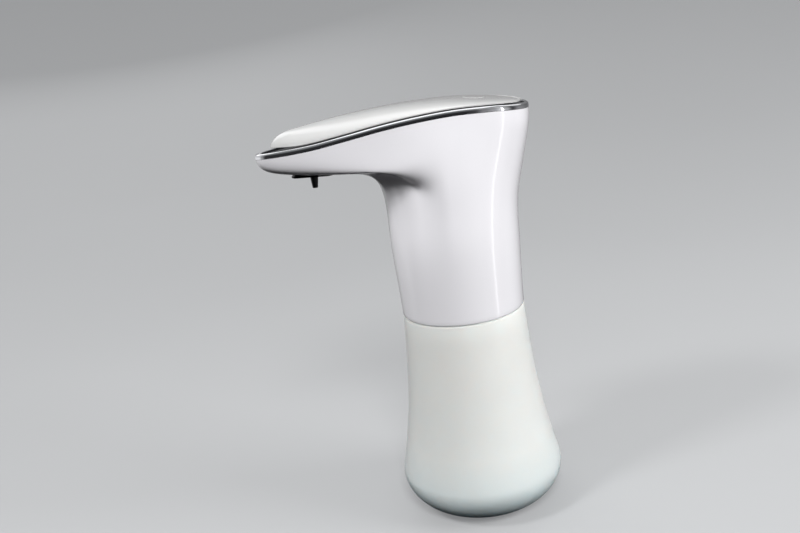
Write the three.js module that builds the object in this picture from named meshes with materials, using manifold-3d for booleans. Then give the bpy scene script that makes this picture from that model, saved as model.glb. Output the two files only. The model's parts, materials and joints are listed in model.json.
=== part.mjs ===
// Free-standing automatic liquid-soap dispenser: a refillable bottle with a
// twist-off pump head. Units are millimetres, +Z up. The origin is the middle
// of the foot pad's underside, and the spout points along -Y.
import * as THREE from 'three';
import { mergeVertices } from 'three/addons/utils/BufferGeometryUtils.js';
import Module from 'manifold-3d';

const wasm = await Module();
wasm.setup();

// ---------------------------------------------------------------- dimensions
// Bottle
const FOOT_PAD_RADIUS = 21, FOOT_PAD_HEIGHT = 1.2;
const BOTTLE_FLOOR_Z = 1.5;
const BOTTLE_HEEL = [23, 1.5];            // radius, height where the heel starts
const BOTTLE_BELLY = [37.2, 19.4];        // the widest point
const BOTTLE_WAIST = [[33.5, 36.1], [30.4, 55.9], [28.6, 75.7]];
const BOTTLE_SHOULDER_RADIUS = 27.5, BOTTLE_SHOULDER_Z = 95.5;
const BOTTLE_WALL = 2.3;
const NECK_RADIUS = 23, NECK_BORE = 21, NECK_TOP_Z = 107.7;
const LUG_RADIUS = 24.4, LUG_Z = [100.9, 102.9], LUG_SPAN = 28;      // degrees
const HOOK_RADIUS = 23.35, HOOK_Z = [98.6, 100.6], HOOK_SPAN = 50;   // degrees

// Head skin
const SKIN_Z = 95.8;                      // lower edge of the housing
const SKIN_WALL = 2.0;
const RIM_CENTRE_Y = 8, RIM_NOSE_Y = -82.4, RIM_TAIL_Y = 37.8, RIM_HALF_WIDTH = 25.3;
const RIM_HEIGHTS = [[-83, 173.6], [-70, 174.8], [-55, 176.4], [-40, 178.8], [-25, 181.2],
  [-10, 182.9], [6, 183.8], [20, 183.3], [30, 182.2], [38, 181.2]];  // y, z
const SPOUT_SLOPE = 0.05;                // the underside falls towards the column
const SPOUT_UNDERSIDE_Z = 164.7, NOZZLE_Y = -58;
const SPOUT_BELLY = 1.2;                 // how far the underside has risen 20 mm from the middle
const RIBS = 36, ROWS = 13;

// Trim, deck and cover
const TRIM_HEIGHT = 2.4, TRIM_WALL = 1.6;
const DECK_INSET = 2.1, DECK_TOP = 1.5, DECK_THICKNESS = 1.6;
const COVER_NOSE_Y = -75, COVER_TAIL_Y = 34.9, COVER_HALF_WIDTH = 23.7;
const COVER_CROWN = [[-76, 15.5], [-70, 14.2], [-60, 11.2], [-42, 7.7], [-25, 5.3], [0, 2.65], [18, 1.1],
  [36, 0.8]];
const COVER_WALL = 2.0;

// Power button
const BUTTON_Y = 15, BUTTON_RADIUS = 4.5;

// Drive train: motor pinion -> reduction gear -> gear pump
const DRIVE_AXIS = [5, -15.5], IDLER_AXIS = [-5, -15.5], MOTOR_AXIS = [-4, -15.5];
const PUMP_TEETH = 14, PINION_TEETH = 12, REDUCTION_TEETH = 33;

// Batteries (size AAA, two by two)
const CELL_RADIUS = 5.1, CELL_LENGTH = 44.5, CELL_PITCH = 10.6, CELL_CENTRE_Y = 4.8, CELL_Z = 112.7;

const HINGE = [17.6, 107.3];              // y, z of the battery door's pin
const TUBE_Y = -11.9;                     // suction tube
const BOARD_Z = 174;

// ------------------------------------------------------------------ materials
const standard = (color, roughness, metalness = 0, extra = {}) =>
  new THREE.MeshStandardMaterial({ color, roughness, metalness, ...extra });
const M = {
  whiteGloss: () => standard(0xeeedf0, 0.16),
  frosted: () => standard(0xe4efec, 0.42, 0, { transparent: true, opacity: 0.82 }),
  chrome: () => standard(0xd8dade, 0.06, 1),
  blackGloss: () => standard(0x060708, 0.12),
  blackPlastic: () => standard(0x17181a, 0.5),
  greyPlastic: () => standard(0xb9bcc0, 0.5),
  whitePlastic: () => standard(0xe3e4e4, 0.45),
  silicone: () => standard(0xc9ced0, 0.6),
  rubber: () => standard(0x2a2b2d, 0.75),
  steel: () => standard(0xb4b6b8, 0.3, 1),
  nickel: () => standard(0xc9c7bf, 0.25, 1),
  brass: () => standard(0xc9a254, 0.3, 1),
  board: () => standard(0x1f6b3a, 0.45),
  cell: () => standard(0x2d4fa0, 0.35, 0.2),
  red: () => standard(0xb3201c, 0.45),
  natural: () => standard(0xf1efe6, 0.4),
};

// -------------------------------------------------------------------- helpers
const part = new THREE.Group();
part.name = 'soap_dispenser';

function add(name, geometry, material, parent = part) {
  geometry.computeVertexNormals();
  const mesh = new THREE.Mesh(geometry, material());
  mesh.name = name;
  parent.add(mesh);
  return mesh;
}

function toSolid(geometry) {
  const g = geometry.clone();
  g.deleteAttribute('normal');
  g.deleteAttribute('uv');
  const m = mergeVertices(g, 1e-4);
  return new wasm.Manifold(new wasm.Mesh({
    numProp: 3,
    vertProperties: new Float32Array(m.attributes.position.array),
    triVerts: new Uint32Array(m.index.array),
  }));
}

function toGeometry(solid) {
  const m = solid.getMesh();
  const g = new THREE.BufferGeometry();
  const p = new Float32Array(m.numVert * 3);
  for (let i = 0; i < m.numVert; i++)
    for (let k = 0; k < 3; k++) p[3 * i + k] = m.vertProperties[m.numProp * i + k];
  g.setAttribute('position', new THREE.BufferAttribute(p, 3));
  g.setIndex(new THREE.BufferAttribute(new Uint32Array(m.triVerts), 1));
  return g;
}

const join = (...g) => toGeometry(g.map(toSolid).reduce((a, b) => a.add(b)));
const cut = (a, ...g) => toGeometry(g.map(toSolid).reduce((s, b) => s.subtract(b), toSolid(a)));
const common = (a, b) => toGeometry(toSolid(a).intersect(toSolid(b)));

const box = (x0, x1, y0, y1, z0, z1) =>
  new THREE.BoxGeometry(x1 - x0, y1 - y0, z1 - z0).translate((x0 + x1) / 2, (y0 + y1) / 2, (z0 + z1) / 2);

const cylinder = (x, y, r, z0, z1, sides = 16, rTop = r) =>
  new THREE.CylinderGeometry(rTop, r, z1 - z0, sides).rotateX(Math.PI / 2).translate(x, y, (z0 + z1) / 2);

// A solid of revolution about Z: [radius, z] pairs, closed or ending on the axis.
function revolve(profile, sides = 32, x = 0, y = 0) {
  let area = 0;
  for (let i = 0; i < profile.length; i++) {
    const [a, b] = profile[i], [c, d] = profile[(i + 1) % profile.length];
    area += a * d - b * c;
  }
  const points = (area > 0 ? profile : [...profile].reverse()).map(([r, z]) => new THREE.Vector2(r, z));
  const onAxis = points.filter((p) => p.x === 0).length > 0;
  if (onAxis) {
    // start and end on the axis
    let k = points.findIndex((p, i) => p.x === 0 && points[(i + 1) % points.length].x !== 0);
    points.push(...points.splice(0, k));
  } else points.push(points[0].clone());
  return new THREE.LatheGeometry(points, sides).rotateX(Math.PI / 2).translate(x, y, 0);
}

// Flat outline in XY lifted from z0 to z1.
function prism(points, z0, z1, holes = []) {
  const shape = new THREE.Shape(points.map(([x, y]) => new THREE.Vector2(x, y)));
  for (const h of holes) shape.holes.push(new THREE.Path(h.map(([x, y]) => new THREE.Vector2(x, y))));
  return new THREE.ExtrudeGeometry(shape, { depth: z1 - z0, bevelEnabled: false,
    curveSegments: 6 }).translate(0, 0, z0);
}

function roundedRect(w, h, r, cx = 0, cy = 0, steps = 3) {
  const out = [];
  for (const [sx, sy, a0] of [[1, 1, 0], [-1, 1, 90], [-1, -1, 180], [1, -1, 270]])
    for (let i = 0; i <= steps; i++) {
      const a = THREE.MathUtils.degToRad(a0 + 90 * i / steps);
      out.push([cx + sx * (w / 2 - r) + r * Math.cos(a), cy + sy * (h / 2 - r) + r * Math.sin(a)]);
    }
  return out;
}

const onCircle = (r, a, x = 0, y = 0) => [x + r * Math.cos(a), y + r * Math.sin(a)];
const arcPoints = (r, a0, a1, steps, x = 0, y = 0) =>
  Array.from({ length: steps + 1 }, (_, i) => onCircle(r, mix(a0, a1, i / steps), x, y));

function arcSector(r0, r1, a0, a1, steps = 4) {
  const from = THREE.MathUtils.degToRad(a0), to = THREE.MathUtils.degToRad(a1);
  return [...arcPoints(r1, from, to, steps), ...arcPoints(r0, to, from, steps)];
}

// A round tube or wire along a smooth path; bore = 0 makes it solid.
function pipe(points, radius, steps, sides = 8, bore = 0) {
  const curve = new THREE.CatmullRomCurve3(points.map((p) => new THREE.Vector3(...p)), false, 'centripetal');
  const circle = (r) => Array.from({ length: sides }, (_, i) => {
    const a = 2 * Math.PI * i / sides;
    return new THREE.Vector2(r * Math.cos(a), r * Math.sin(a));
  });
  const shape = new THREE.Shape(circle(radius));
  if (bore) shape.holes.push(new THREE.Path(circle(bore)));
  return new THREE.ExtrudeGeometry(shape, { steps, extrudePath: curve, bevelEnabled: false });
}

// Smooth curve through [x, value] stations.
function along(stations, x) {
  const n = stations.length;
  if (x <= stations[0][0]) return stations[0][1];
  if (x >= stations[n - 1][0]) return stations[n - 1][1];
  let i = 0;
  while (x > stations[i + 1][0]) i++;
  const slope = (k) => {
    const a = stations[Math.max(0, k - 1)], b = stations[Math.min(n - 1, k + 1)];
    return (b[1] - a[1]) / (b[0] - a[0]);
  };
  const [x0, y0] = stations[i], [x1, y1] = stations[i + 1], h = x1 - x0, t = (x - x0) / h;
  return y0 * (1 + 2 * t) * (1 - t) ** 2 + slope(i) * h * t * (1 - t) ** 2
    + y1 * t * t * (3 - 2 * t) + slope(i + 1) * h * t * t * (t - 1);
}

function smooth(a, b, x) {
  const t = THREE.MathUtils.clamp((x - a) / (b - a), 0, 1);
  return t * t * (3 - 2 * t);
}
const mix = THREE.MathUtils.lerp;

// Closed grid: rings of equal length, joined side to side and first to last
// when looped, otherwise closed with a centre point at each end.
function ringSolid(rings, looped, flip = false) {
  const n = rings[0].length, position = [], index = [];
  for (const ring of rings) for (const p of ring) position.push(...p);
  const tri = (a, b, c) => (flip ? index.push(a, c, b) : index.push(a, b, c));
  const last = looped ? rings.length : rings.length - 1;
  for (let r = 0; r < last; r++) {
    const s = (r + 1) % rings.length;
    for (let i = 0; i < n; i++) {
      const j = (i + 1) % n;
      tri(r * n + i, r * n + j, s * n + j);
      tri(r * n + i, s * n + j, s * n + i);
    }
  }
  if (!looped) for (const [r, up] of [[0, false], [rings.length - 1, true]]) {
    const c = position.length / 3, m = [0, 0, 0];
    for (const p of rings[r]) for (let k = 0; k < 3; k++) m[k] += p[k] / n;
    position.push(...m);
    for (let i = 0; i < n; i++) {
      const j = (i + 1) % n;
      const [from, to] = up ? [i, j] : [j, i];
      tri(r * n + from, r * n + to, c);
    }
  }
  const g = new THREE.BufferGeometry();
  g.setAttribute('position', new THREE.Float32BufferAttribute(position, 3));
  g.setIndex(index);
  return g;
}

// Involute spur gear outline.
function gearOutline(teeth, pitchRadius, addendum, dedendum, backlash, phase, flank = 4) {
  const base = pitchRadius * Math.cos(THREE.MathUtils.degToRad(20));
  const pressure = (r) => Math.acos(Math.min(1, base / r));
  const inv = (r) => Math.tan(pressure(r)) - pressure(r);
  const half = Math.PI / (2 * teeth) - backlash / (2 * pitchRadius) + inv(pitchRadius);
  const tip = pitchRadius + addendum, root = pitchRadius - dedendum, start = Math.max(base, root);
  const out = [];
  for (let t = 0; t < teeth; t++) {
    const c = phase + 2 * Math.PI * t / teeth;
    const side = [];
    if (root < start) side.push([root, half - inv(start)]);
    for (let i = 0; i < flank; i++) {
      const r = mix(start, tip, i / (flank - 1));
      side.push([r, half - inv(r)]);
    }
    for (const [r, a] of side) out.push(onCircle(r, c - a));
    for (const [r, a] of side.reverse()) out.push(onCircle(r, c + a));
  }
  return out;
}
const circleOutline = (r, n = 12) => arcPoints(r, 0, 2 * Math.PI * (n - 1) / n, n - 1);
const gear = (outline, bore, z0, z1, [x, y]) => prism(outline, z0, z1, [circleOutline(bore)]).translate(x,
  y, 0);

// ------------------------------------------------------------ head skin shape
const rimZ = (y) => along(RIM_HEIGHTS, y);
const undersideZ = (y) => SPOUT_UNDERSIDE_Z - SPOUT_SLOPE * (y - NOZZLE_Y);

// Leaf-shaped outline: u runs from 0 at the nose round the +X side to 1 at the tail.
function leaf(u, nose, tail, halfWidth) {
  const a = 2 * Math.PI * u, c = Math.cos(a), s = Math.sin(a);
  const y = RIM_CENTRE_Y - c * (c > 0 ? RIM_CENTRE_Y - nose : tail - RIM_CENTRE_Y);
  return [halfWidth * Math.sign(s) * Math.abs(s) ** (c > 0 ? 1 + 0.17 * c : 1), y];
}
const rimPlan = (u) => leaf(u, RIM_NOSE_Y, RIM_TAIL_Y, RIM_HALF_WIDTH);

// Angle on the round column, from the front, that feeds rib u.
const RIB_ANGLES = [[0, 0], [20, 9], [40, 24], [60, 48], [75, 72], [90, 99], [120, 133], [150, 158],
  [180, 180]];

// Control points of one rib, from the lower edge up to the rim.
function rib(u) {
  const half = u <= 0.5 ? u : 1 - u, sign = u <= 0.5 ? 1 : -1;
  const angle = THREE.MathUtils.degToRad(along(RIB_ANGLES, half * 360));
  const [ex, ey] = rimPlan(half);
  const ez = rimZ(ey);
  const dir = [Math.sin(angle), -Math.cos(angle)];
  const back = (1 - Math.cos(angle)) / 2;                 // 0 at the front, 1 at the tail
  const column = (r) => [dir[0] * r, dir[1] * r];
  const reach = Math.hypot(ex - dir[0] * 28.5, ey - dir[1] * 28.5);
  const over = smooth(2, 17, reach) * smooth(0.62, 0.3, back);   // 1 where the spout hangs out
  const pinch = smooth(0, 0.12, back) * smooth(0.48, 0.25, back);   // the hollow below the spout's sides
  const sag = 3 * smooth(0.16, 0.3, back) * smooth(0.5, 0.38, back);
  const out = [];
  const put = ([x, y], z) => out.push([x * sign, y, z]);
  put(column(27.6), SKIN_Z);
  put(column(27.75), 104);
  put(column(28.35), 118);
  put(column(28.8 * (1 - 0.03 * pinch)), 131);
  put(column(mix(28.2, 29.4, smooth(0.5, 1, back)) * (1 - 0.09 * pinch)), 143);
  const belly = (x, y, drop = 0) => undersideZ(y) + SPOUT_BELLY * (x / 20) ** 2 - drop;
  const cove = reach > 1 ? [Math.min(4 / reach, 0.3), Math.min(14 / reach, 0.5)] : [0.3, 0.5];
  const levels = [
    // share of the way to the rim and height: side wall | tail | spout share, tuck, sag, spout height
    [0.04, 151, 0.17, 150, 0.01, 0.18, 0.4, (x, y) => belly(x, y, 9)],
    [0.12, 158, 0.38, 157.5, cove[0], 0.23, 1, (x, y) => belly(x, y, 2.2)],
    [0.27, 164, 0.58, 164, cove[1], 0.05, 1, (x, y) => belly(x, y)],
    [0.47, 170, 0.77, 170.5, 0.64, -0.03, 0.8, (x, y) => belly(x, y)],
    [0.66, 175, 0.90, 175.5, 0.93, -0.02, 0.3, (x, y) => belly(x, y, -1.1)],
    [0.86, 179.5, 0.975, 178.7, 0.99, 0, 0, (x, y, z8) => mix(z8, ez, 0.5)],
  ];
  const b = column(mix(28.2, 29.4, smooth(0.5, 1, back)));
  let z8 = 0;
  for (const [ws, zs, wt, zt, wf, tuck, drop, zf] of levels) {
    const tail = smooth(0.6, 1, back);
    const scale = (ez - 143) / (183.8 - 143);
    const zSide = mix(143 + (zs - 143) * scale, 143 + (zt - 143) * scale, tail);
    const w = mix(mix(ws, wt, tail), wf, over);
    const p = [mix(b[0], ex, w) * (1 - pinch * tuck), mix(b[1], ey, w) * (1 - 0.4 * pinch * tuck)];
    z8 = mix(zSide, zf(...p, z8), over) - sag * drop;
    put(p, z8);
  }
  put([ex, ey], ez);
  return out;
}

// Clamped cubic B-spline through the end points of a control polygon.
function spline(points, t) {
  const n = points.length - 1, d = 3, knots = [];
  for (let i = 0; i <= n + d + 1; i++) knots.push(Math.min(Math.max(i - d, 0), n - d + 1) / (n - d + 1));
  let k = d;
  while (k < n && t >= knots[k + 1]) k++;
  const w = points.slice(k - d, k + 1).map((p) => [...p]);
  for (let r = 1; r <= d; r++) for (let j = d; j >= r; j--) {
    const a = (t - knots[j + k - d]) / (knots[j + 1 + k - r] - knots[j + k - d]);
    for (let c = 0; c < 3; c++) w[j][c] = mix(w[j - 1][c], w[j][c], a);
  }
  return w[d];
}

const skinPoint = (u, v) => spline(rib((u + 1) % 1), v);
function skinInset(u, v, wall) {
  const e = 0.004, p = skinPoint(u, v);
  const a = skinPoint(u - e, v), b = skinPoint(u + e, v);
  const c = skinPoint(u, Math.max(0, v - e)), d = skinPoint(u, Math.min(1, v + e));
  const du = new THREE.Vector3(b[0] - a[0], b[1] - a[1], b[2] - a[2]);
  const dv = new THREE.Vector3(d[0] - c[0], d[1] - c[1], d[2] - c[2]);
  const n = du.cross(dv).normalize();
  return [p[0] - n.x * wall, p[1] - n.y * wall, p[2] - n.z * wall];
}

// Insets an outline point of the rim towards the inside, level.
function rimInset(u, d, plan = rimPlan) {
  const e = 0.003, a = plan((u - e + 1) % 1), b = plan((u + e) % 1), p = plan(u);
  const tx = b[0] - a[0], ty = b[1] - a[1], l = Math.hypot(tx, ty);
  return [p[0] - ty / l * d, p[1] + tx / l * d];
}

const STEPS = Array.from({ length: RIBS }, (_, i) => i / RIBS);
const rowAt = (k) => k / ROWS;

function headHousingShell() {
  const rings = [];
  for (let k = 0; k <= ROWS; k++) rings.push(STEPS.map((u) => skinPoint(u, rowAt(k))));
  for (let k = ROWS; k >= 0; k--) {
    const v = rowAt(k);
    rings.push(STEPS.map((u) => {
      const p = skinInset(u, v, SKIN_WALL);
      if (k === ROWS) return [...rimInset(u, SKIN_WALL), rimZ(rimPlan(u)[1])];
      if (k === 0) p[2] = SKIN_Z;
      return p;
    }));
  }
  return ringSolid(rings, true);
}

// ============================================================ bottle assembly
add('foot_pad', revolve([[0, 0], [FOOT_PAD_RADIUS - 0.4, 0], [FOOT_PAD_RADIUS, 0.4],
  [FOOT_PAD_RADIUS, FOOT_PAD_HEIGHT], [0, FOOT_PAD_HEIGHT]], 28), M.silicone);

function bottleProfile() {
  const outer = [[0, BOTTLE_FLOOR_Z], BOTTLE_HEEL];
  const wall = new THREE.CubicBezierCurve(
    new THREE.Vector2(...BOTTLE_HEEL), new THREE.Vector2(31.5, 1.9),
    new THREE.Vector2(38.6, 9.5), new THREE.Vector2(...BOTTLE_BELLY));
  outer.push(...wall.getPoints(5).slice(1).map((p) => [p.x, p.y]));
  const side = new THREE.SplineCurve([new THREE.Vector2(...BOTTLE_BELLY),
    ...BOTTLE_WAIST.map((p) => new THREE.Vector2(...p)),
    new THREE.Vector2(BOTTLE_SHOULDER_RADIUS, BOTTLE_SHOULDER_Z)]);
  outer.push(...side.getPoints(7).slice(1).map((p) => [p.x, p.y]));
  const inner = outer.slice(3, -1).map(([r, z]) => [r - BOTTLE_WALL, z < 8 ? z + 1.7 : z]);
  return [...outer, [NECK_RADIUS, BOTTLE_SHOULDER_Z], [NECK_RADIUS, NECK_TOP_Z], [NECK_BORE, NECK_TOP_Z],
    [NECK_BORE, 92], [25.3, 88.5], ...inner.filter(([, z]) => z < 86 && z > 4.2).reverse(), [23, 4], [0, 4]];
}
const lugAt = (a, r0, r1, z, span) => prism(arcSector(r0, r1, a - span / 2, a + span / 2), z[0], z[1]);
add('bottle', join(revolve(bottleProfile(), 36),
  lugAt(90, NECK_RADIUS - 0.8, LUG_RADIUS, LUG_Z, LUG_SPAN), lugAt(270, NECK_RADIUS - 0.8, LUG_RADIUS,
    LUG_Z, LUG_SPAN)), M.frosted);

// ============================================================== head housing
const spout = new THREE.Group();           // frame square to the spout's underside
spout.position.set(0, NOZZLE_Y, undersideZ(NOZZLE_Y));
spout.rotation.x = -Math.atan(SPOUT_SLOPE);
part.add(spout);
spout.updateMatrixWorld(true);
const inSpout = (g) => g.applyMatrix4(spout.matrixWorld);
const fromSpout = (x, y, z) => new THREE.Vector3(x, y, z).applyMatrix4(spout.matrixWorld).toArray();

add('head_housing', cut(headHousingShell(),
  inSpout(prism(roundedRect(11.6, 17.2, 2.5), -6, 4.6))), M.whiteGloss);

// chrome band on the rim: outer wall, bevelled top edge
function trimRing() {
  const section = [[0.0, 0.3], [-0.05, TRIM_HEIGHT - 0.7], [0.5, TRIM_HEIGHT],
    [TRIM_WALL, TRIM_HEIGHT - 0.15], [TRIM_WALL, 0.3]];
  return ringSolid(section.map(([d, h]) => STEPS.map((u) => {
    const [x, y] = rimInset(u, d);
    return [x, y, rimZ(rimPlan(u)[1]) + h];
  })), true);
}
add('chrome_trim', trimRing(), M.chrome);

// glossy black deck inside the band, following the rim's line
function deckPlate() {
  const rings = [];
  for (const [share, h] of [[0.12, DECK_TOP], [0.5, DECK_TOP], [1, DECK_TOP],
    [1, DECK_TOP - DECK_THICKNESS], [0.5, DECK_TOP - DECK_THICKNESS], [0.12, DECK_TOP - DECK_THICKNESS]])
    rings.push(STEPS.map((u) => {
      const [x, y] = rimInset(u, DECK_INSET);
      const px = x * share, py = mix(RIM_CENTRE_Y, y, share);
      return [px, py, rimZ(py) + h];
    }));
  return ringSolid(rings, false, true);
}
add('top_deck', cut(deckPlate(), cylinder(0, BUTTON_Y, 3.4, 178, 190, 20)), M.blackGloss);

// domed leaf-shaped cover
const coverPlan = (u) => leaf(u, COVER_NOSE_Y, COVER_TAIL_Y, COVER_HALF_WIDTH);
const coverEdgeZ = (y) => rimZ(y) + TRIM_HEIGHT + 0.3 + 0.8 * smooth(-58, -75, y);
const coverZ = (y, share) => coverEdgeZ(y) + 0.5 * (1 - share ** 8) + along(COVER_CROWN,
  y) * Math.sqrt(Math.max(0, 1 - share ** 2.2));
function coverShell() {
  const rings = [];
  const ring = (share, f) => rings.push(STEPS.map((u) => {
    const [x, y] = coverPlan(u), py = mix(RIM_CENTRE_Y, y, share);
    return [x * share, py, f(py, share)];
  }));
  for (const s of [0.12, 0.45, 0.72, 0.88, 0.96]) ring(s, coverZ);
  ring(1, (y) => coverEdgeZ(y) + 0.35);
  ring(0.985, (y) => coverEdgeZ(y));
  ring(0.91, (y) => coverEdgeZ(y));
  for (const s of [0.84, 0.5, 0.12]) ring(s, (y) => Math.max(coverZ(y, s) - COVER_WALL, coverEdgeZ(y) + 0.05));
  return ringSolid(rings, false, true);
}
const buttonTop = coverZ(BUTTON_Y, (BUTTON_Y - RIM_CENTRE_Y) / (COVER_TAIL_Y - RIM_CENTRE_Y)) + 0.15;
add('top_cover', cut(coverShell(), cylinder(0, BUTTON_Y, BUTTON_RADIUS + 0.3, 180, 196, 28)), M.whiteGloss);
add('power_button', revolve([[0, 180.6], [1.5, 180.6], [1.5, buttonTop - 1.9],
  [BUTTON_RADIUS, buttonTop - 1.9], [BUTTON_RADIUS, buttonTop - 0.4],
  [BUTTON_RADIUS - 0.4, buttonTop - 0.05], [0, buttonTop]], 20, 0, BUTTON_Y), M.whiteGloss);

// ===================================================== chassis in the column
const doorHalf = 11.2, doorFront = -6.4, doorRear = 15.6;
const lug = (x0, x1, r = 1.7) => new THREE.CylinderGeometry(r, r, x1 - x0,
  16).rotateZ(Math.PI / 2).translate((x0 + x1) / 2, HINGE[0], HINGE[1]);
const bore = (x0, x1) => lug(x0, x1, 1.15);
const basePlate = (() => {
  const body = toSolid(revolve([[0, 109.2], [24.75, 109.2], [24.75, 97.4], [25.35, 97.4], [25.35, 111.5],
    [0, 111.5]], 36));
  const hooks = [0, 180].map((a) => toSolid(lugAt(a, HOOK_RADIUS, 25, HOOK_Z, HOOK_SPAN)));
  const ears = [[4.4, 7.2], [-7.2, -4.4]].flatMap(([a, b]) => [toSolid(lug(a, b)),
    toSolid(box(a, b, HINGE[0] - 1.2, HINGE[0] + 1.2, HINGE[1], 110))]);
  const holes = [box(-10.7, 10.7, -5.9, 15.5, 105, 115), cylinder(0, TUBE_Y, 3.2, 105, 115),
    cylinder(14, -9, 1.9, 105, 115, 14),
    cylinder(15.5, 6, 1.6, 105, 115, 12), cylinder(-15.5, 6, 1.6, 105, 115, 12), bore(-9, 9)];
  let s = [...hooks, ...ears].reduce((a, b) => a.add(b), body);
  for (const h of holes) s = s.subtract(toSolid(h));
  return toGeometry(s);
})();
add('base_plate', basePlate, M.whitePlastic);
add('neck_gasket', revolve([[21.3, 108], [23.3, 108], [23.3, 108.9], [21.3, 108.9]], 28), M.silicone);
add('vent_valve', revolve([[0, 112.8], [2.4, 112.8], [2.4, 111.8], [1.5, 111.8], [1.5, 108.9], [2.6, 108.9],
  [2.6, 108.2], [0.6, 106.4], [0, 106.4]], 10, 14, -9), M.rubber);

// battery door with its seal, pin and contact springs
add('battery_door', cut(join(
  prism(roundedRect(2 * doorHalf, doorRear - doorFront, 1.5, 0, (doorRear + doorFront) / 2), 106.7, 108.3),
  lug(-4, 4), box(-4, 4, 15, HINGE[0], 106.7, 108.3), box(-3, 3, doorFront - 1.3, doorFront + 0.5, 105.6,
    107.6)), bore(-5, 5)), M.whitePlastic);
add('hinge_pin', new THREE.CylinderGeometry(0.85, 0.85, 14.2, 14).rotateZ(Math.PI / 2).translate(0,
  ...HINGE), M.steel);
add('door_seal', prism(roundedRect(22, 22, 1.4, 0, CELL_CENTRE_Y), 108.5, 109.0,
  [roundedRect(20.4, 20.4, 0.8, 0, CELL_CENTRE_Y).reverse()]), M.silicone);
const cells = [[1, -1], [-1, -1], [1, 1], [-1, 1]];
function spring(x, y) {
  const points = [], steps = 26, turns = 2.5;
  for (let i = 0; i <= steps; i++) {
    const share = i / steps;
    points.push([...onCircle(mix(3.1, 1.9, share), 2 * Math.PI * turns * share, x, y),
      mix(108.9, 112.1, share)]);
  }
  return pipe(points, 0.3, 24, 5);
}
add('door_spring_left', spring(-CELL_PITCH / 2, CELL_CENTRE_Y - CELL_PITCH / 2), M.nickel);
add('door_spring_right', spring(CELL_PITCH / 2, CELL_CENTRE_Y + CELL_PITCH / 2), M.nickel);

// battery box
add('battery_box', cut(join(
  prism(roundedRect(24, 24, 1.6, 0, CELL_CENTRE_Y), 111.8, 160.6),
  box(11, 18, 2.6, 9.4, 111.8, 119), box(-18, -11, 2.6, 9.4, 111.8, 119)),
  prism(roundedRect(21.3, 21.3, 1, 0, CELL_CENTRE_Y), 105, 159),
  cylinder(15.5, 6, 1.6, 110, 118, 12), cylinder(-15.5, 6, 1.6, 110, 118, 12)), M.blackPlastic);
for (const side of [1, -1]) {
  const x = 15.5 * side;
  add(`chassis_screw_${side > 0 ? 'right' : 'left'}`,
    revolve([[0, 107.4], [2.6, 107.4], [2.6, 108.3], [1.9, 108.9], [1.3, 108.9], [1.3, 117], [0, 117]], 10,
    x, 6), M.steel);
}
cells.forEach(([sx, sy], i) => {
  const x = sx * CELL_PITCH / 2, y = CELL_CENTRE_Y + sy * CELL_PITCH / 2, up = sx * sy < 0;
  const z0 = CELL_Z, z1 = CELL_Z + CELL_LENGTH;
  const nub = up
    ? [[0, z0], [CELL_RADIUS - 0.4, z0], [CELL_RADIUS, z0 + 0.4], [CELL_RADIUS, z1 - 1.2],
      [CELL_RADIUS - 0.4, z1 - 0.8], [1.9, z1 - 0.8], [1.9, z1], [0, z1]]
    : [[0, z0], [1.9, z0], [1.9, z0 + 0.8], [CELL_RADIUS - 0.4, z0 + 0.8], [CELL_RADIUS, z0 + 1.2],
      [CELL_RADIUS, z1 - 0.4], [CELL_RADIUS - 0.4, z1], [0, z1]];
  add(`battery_${i + 1}`, revolve(nub, 14, x, y), M.cell);
});
add('contact_left', box(-9.6, -1, -4.6, 14.2, 157.7, 158.1), M.nickel);
add('contact_right', box(1, 9.6, -4.6, 14.2, 157.7, 158.1), M.nickel);

// ================================================================= gear pump
const stadium = (r, n = 10) => [...arcPoints(r, -Math.PI / 2, Math.PI / 2, n, ...DRIVE_AXIS),
  ...arcPoints(r, Math.PI / 2, Math.PI * 3 / 2, n, ...IDLER_AXIS)];
const SPIGOT = [-17.6, -12.2];
add('pump_housing', cut(join(
  prism(stadium(7.3), 114.2, 126),
  prism([[-10, -17.5], [SPIGOT[0] - 1.6, SPIGOT[1] - 2.6], [SPIGOT[0] - 2.6, SPIGOT[1]],
    [SPIGOT[0] - 1, SPIGOT[1] + 2.4], [-10, -10]], 121.2, 126),
  cylinder(...SPIGOT, 1.3, 125.5, 132, 12)),
  cylinder(...DRIVE_AXIS, 5.75, 113, 121, 28), cylinder(...IDLER_AXIS, 5.75, 113, 121, 28),
  cylinder(0, TUBE_Y, 1.9, 113, 121, 14), cylinder(0, -19.2, 1.6, 113, 124.2, 12),
  new THREE.CylinderGeometry(0.9, 0.9, 19.0, 10).rotateZ(Math.PI / 2).rotateZ(Math.atan2(-7.0,
    17.6)).translate(-8.8, -15.7, 124.2 - 0.9),
  cylinder(...SPIGOT, 0.75, 122.6, 133, 10),
  cylinder(...DRIVE_AXIS, 1.25, 120, 127, 16), cylinder(...DRIVE_AXIS, 2.6, 124, 127,
    18), cylinder(...IDLER_AXIS, 1.25, 120, 122.2, 16)), M.greyPlastic);
add('pump_cover', cut(join(prism(stadium(7.3), 112.2, 113.9), cylinder(0, TUBE_Y, 1.7, 104, 112.6, 16)),
  cylinder(0, TUBE_Y, 1.0, 103, 115, 12), cylinder(...DRIVE_AXIS, 1.25, 113, 115,
    12), cylinder(...IDLER_AXIS, 1.25, 113, 115, 12)), M.greyPlastic);
const pumpPitch = 5, pumpAdd = 0.57, pumpDed = 0.8;
add('pump_drive_gear', gear(gearOutline(PUMP_TEETH, pumpPitch, pumpAdd, pumpDed, 0.16, 0, 3), 1.2, 114.4,
  120.6, DRIVE_AXIS), M.natural);
add('pump_idler_gear', gear(gearOutline(PUMP_TEETH, pumpPitch, pumpAdd, pumpDed, 0.16, Math.PI / PUMP_TEETH,
  3), 1.2, 114.4, 120.6, IDLER_AXIS), M.natural);
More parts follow.
